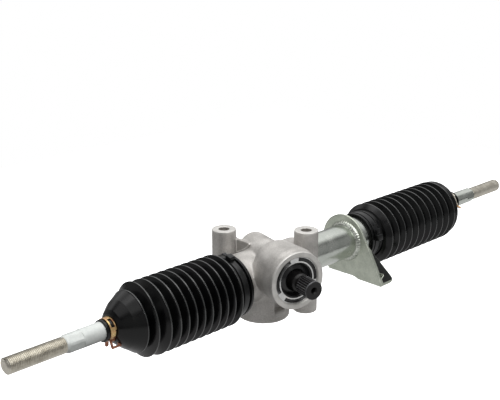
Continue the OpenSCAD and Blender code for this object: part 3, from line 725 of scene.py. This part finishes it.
# The web's free edge, from the boss down and along to the barrel, as a bead in the brighter machined finish:
# a painted highlight on the cast edge
WEB_FACE, WEB_BEAD_R = 6.2, 0.75
web_edge = [(22.4, 28.3), (22.4, 17.0), (18.6, 17.9), (14.1, 20.6), (9.6, 23.6), (6.6, 26.4), (5, 29)]
web_rim = bmesh.new()
for start, end in zip(web_edge, web_edge[1:]):
    start, end = Vector((WEB_FACE, *start)), Vector((WEB_FACE, *end))
    bead = bmesh.new()
    bmesh.ops.create_cone(
        bead, cap_ends=True, segments=12, radius1=WEB_BEAD_R, radius2=WEB_BEAD_R,
        depth=(end - start).length + 0.6,
    )
    turn = (end - start).to_track_quat("Z", "Y").to_matrix().to_4x4()
    bmesh.ops.transform(bead, matrix=Matrix.Translation((start + end) / 2) @ turn, verts=bead.verts)
    join(web_rim, bead)
piece("housing_casting", casting, blasted, "housing", angle=60, stands_for=("pinion_housing",))
piece("housing_web_rim_painted_highlight", web_rim, machined, "housing", AXIS)
mouth_ring = [
    (MOUTH - 9, 22.0, 0), (MOUTH - 0.7, 22.0, 0.1), (MOUTH, 22.8, 0.2), (MOUTH, 26.5, 0.25),
    (MOUTH - 0.6, 27.0, 0.25), (MOUTH - 3.2, 26.9, 0), (MOUTH - 9, 23, 0),
]
piece(
    "housing_mouth_face", turned(rounded(mouth_ring), closed=True), machined, "housing", CROSSING,
    PINION_TURN,
)
# The bolt bosses' turned tops, each with the first 16 mm of its bore
BOSSES = Vector((1.8, 34.35, 0)), Vector((54.6, -22.25, 0))
BOSS_TOP, BORE_R = 38.05, 5.15
boss_faces = bmesh.new()
for at in BOSSES:
    boss = [
        (22, BORE_R, 0), (37.6, BORE_R, 0.1), (BOSS_TOP, 5.7, 0.1), (BOSS_TOP, 11.1, 0.2),
        (37.7, 11.45, 0.2), (36.4, 11.3, 0), (36.4, 7, 0), (22, 5.6, 0),
    ]
    top = turned(rounded(boss), steps=72, closed=True)
    for f in top.faces:
        c = f.calc_center_median()
        # The bore's faces take the darker material: painted shade down the hole
        f.material_index = math.hypot(c.y, c.z) < 5.7 and c.x < 37.7
    bmesh.ops.transform(top, matrix=Matrix.Translation(at) @ UPRIGHT, verts=top.verts)
    join(boss_faces, top)
bosses = piece("housing_boss_faces", boss_faces, machined, "housing", AXIS)
bosses.data.materials.append(bore_painted_shade)

# Bracket: the pressed plate with its bends and edges worn round. Its flange faces out and up,
# and above the foot its face is painted near black: painted shade
plate = softened("tube_bracket", 0.5, 6)
plate.normal_update()
FLANGE_OUT = Vector((0, -0.88, 0.47))
FOOT_TOP = -33.6
for f in plate.faces:
    middle = f.calc_center_median()
    on_flange = f.normal.dot(FLANGE_OUT) > 0.93 and middle.x > PLATE_X + 4 + AXIS.x
    if on_flange and middle.z > FOOT_TOP:
        # Painted shade: the flange's face above the foot takes the near-black material
        f.material_index = 1
bracket = piece("bracket_plate", plate, plate_zinc, "housing", angle=60, stands_for=("tube_bracket",))
bracket.data.materials.append(flange_painted_shade)

# The tongue left standing behind the flange's opening, in line with the flange
tongue = block((8, 9, 1), (0, 0, 0), 0.2, 1)
bmesh.ops.rotate(tongue, matrix=Matrix.Rotation(math.radians(61.9), 3, "X"), verts=tongue.verts)
bmesh.ops.translate(tongue, vec=(144.7, -40.3, -29.5), verts=tongue.verts)
piece("bracket_tongue", tongue, plate_zinc, "housing", AXIS)

# Weld: a fillet from the tube to the plate, with one ripple for each dab
RIPPLES, RIPPLE_RISE = 46, 0.016
WELD_ROOT = 17.4
fillet = [
    (PLATE_X - 3.6, WELD_ROOT, 0), (PLATE_X - 3.4, 18.0, 0.4), (PLATE_X - 1.6, 20.0, 1.5),
    (PLATE_X, 20.8, 0), (PLATE_X, WELD_ROOT, 0),
]
weld = turned(rounded(fillet), steps=6 * RIPPLES, closed=True)
for v in weld.verts:
    if math.hypot(v.co.y, v.co.z) > WELD_ROOT + 0.2:
        dab = abs(math.sin(math.atan2(v.co.y, v.co.z) * RIPPLES / 2))
        rise = 1 + RIPPLE_RISE * dab
        v.co.y, v.co.z = v.co.y * rise, v.co.z * rise
piece("weld_bead", weld, weld_zinc, "housing", AXIS, angle=50, stands_for=("bracket_weld",))

# Carried-over CAD nodes take their finishes
looks = {
    "rack_tube": tube_zinc,
    "boot_sleeve": tube_zinc,
    "rack_bush": bush_black,
    "yoke_piston": machined,
    "yoke_liner": bush_black,
    "yoke_spring": spring_steel,
    "yoke_plug": machined,
    "yoke_ring": seal_rubber,
    "bearing_outer": bearing_steel,
    "bearing_inner": bearing_steel,
    "bearing_balls": bearing_steel,
    "needle_bush": bearing_steel,
    "pinion_seal": seal_rubber,
    "retaining_ring": ring_steel,
    "pinion_shaft": oxide,
    "rack_bar": hidden_steel,
    "left_lock_washer": spring_steel,
    "right_lock_washer": spring_steel,
    "left_ball_socket": socket_steel,
    "right_ball_socket": socket_steel,
    "left_ball_seat": acetal,
    "right_ball_seat": acetal,
}
for name, material in looks.items():
    mesh = nodes[name].data
    mesh.materials.clear()
    mesh.materials.append(material)

# Floor: plain white, out of reach below the held part. Only the camera and reflections see it
# white: it sends little light up to the object
FLOOR_Z = -0.16
floor_bm = bmesh.new()
bmesh.ops.create_grid(floor_bm, x_segments=1, y_segments=1, size=1.0)
bmesh.ops.translate(floor_bm, vec=(0, 0, FLOOR_Z), verts=floor_bm.verts)
floor_mesh = bpy.data.meshes.new("floor")
floor_bm.to_mesh(floor_mesh)
floor_bm.free()
floor = bpy.data.objects.new("floor", floor_mesh)
bpy.context.scene.collection.objects.link(floor)
white = bpy.data.materials.new("white_floor")
white.use_nodes = True
t = white.node_tree
s = t.nodes["Principled BSDF"]
s.inputs["Roughness"].default_value = 0.9
s.inputs["Specular IOR Level"].default_value = 0.0
path = add(t, "ShaderNodeLightPath")
add(
    t, "ShaderNodeMixRGB", [("Fac", path.outputs["Is Camera Ray"])], to=s.inputs["Base Color"],
    Color1=linear("#484848"), Color2=linear("#FFFFFF"),
)
SEEN_GLOW, MIRRORED_GLOW = 0.7, 0.62
mirrored = add(t, "ShaderNodeMath", [(0, path.outputs["Is Glossy Ray"])], operation="MULTIPLY")
mirrored.inputs[1].default_value = MIRRORED_GLOW
level = add(
    t, "ShaderNodeMath", [(0, path.outputs["Is Camera Ray"]), (2, mirrored.outputs["Value"])],
    operation="MULTIPLY_ADD",
)
level.inputs[1].default_value = SEEN_GLOW
glow = add(t, "ShaderNodeEmission", [("Strength", level.outputs["Value"])])
add(
    t, "ShaderNodeAddShader", [(0, s.outputs["BSDF"]), (1, glow.outputs["Emission"])],
    to=t.nodes["Material Output"].inputs["Surface"],
)
floor.data.materials.append(white)

# World: bright from above and dim round the sides, as in a booth, and plain white to the camera.
# Reflections see the booth's front in bands, dark between pale, and a white wall behind it
world = bpy.data.worlds.new("studio")
bpy.context.scene.world = world
world.use_nodes = True
t = world.node_tree
back = t.nodes["Background"]
back.inputs["Color"].default_value = (1, 1, 1, 1)
way = add(t, "ShaderNodeSeparateXYZ", [("Vector", add(t, "ShaderNodeTexCoord").outputs["Generated"])])
dome = add(
    t, "ShaderNodeMapRange", [("Value", way.outputs["Z"])],
    From_Min=0.3, From_Max=0.6, To_Min=0.1, To_Max=1.0,
)
height = add(t, "ShaderNodeMapRange", [("Value", way.outputs["Z"])], From_Min=-0.5, From_Max=1.0)
front = add(
    t, "ShaderNodeValToRGB", [("Fac", height.outputs["Result"])],
    stops=[(0.0, "#454545"), (0.27, "#454545"), (0.33, "#959595"), (0.67, "#959595"), (0.71, "#454545"),
           (0.78, "#454545"), (0.83, "#FFFFFF")],
)
beyond = add(t, "ShaderNodeMath", [(0, way.outputs["X"]), (1, way.outputs["Y"])], operation="ADD")
side = add(t, "ShaderNodeMapRange", [("Value", beyond.outputs["Value"])], From_Min=0.42, From_Max=0.66)
rear = add(
    t, "ShaderNodeMapRange", [("Value", way.outputs["Z"])],
    From_Min=0.1, From_Max=0.4, To_Min=0.1, To_Max=1.0,
)
backdrop = add(
    t, "ShaderNodeMath", [(0, side.outputs["Result"]), (1, rear.outputs["Result"])], operation="MULTIPLY"
)
booth = add(
    t, "ShaderNodeMath", [(0, front.outputs["Color"]), (1, backdrop.outputs["Value"])], operation="MAXIMUM"
)
path = add(t, "ShaderNodeLightPath")
unseen = add(
    t, "ShaderNodeMix",
    [("Factor", path.outputs["Is Glossy Ray"]), ("A", dome.outputs["Result"]), ("B", booth.outputs["Value"])],
)
add(
    t, "ShaderNodeMath", [(0, path.outputs["Is Camera Ray"]), (1, unseen.outputs["Result"])],
    to=back.inputs["Strength"], operation="MAXIMUM",
)


# Soft boxes
def lamp(name, at, aim, size, watts):
    """A soft box at a place, in metres, turned to face another."""
    data = bpy.data.lights.new(name, "AREA")
    data.shape = "RECTANGLE"
    data.size, data.size_y = size
    data.energy = watts
    o = bpy.data.objects.new(name, data)
    bpy.context.scene.collection.objects.link(o)
    o.location = at
    o.rotation_euler = (Vector(aim) - Vector(at)).to_track_quat("-Z", "Y").to_euler()


lamp("top_box", (0.1, 0.15, 1.1), (0, 0, 0), (1.4, 0.6), 4)
lamp("front_box", (-0.3, -0.9, 1.1), (0, 0, 0), (0.8, 0.8), 8.5)
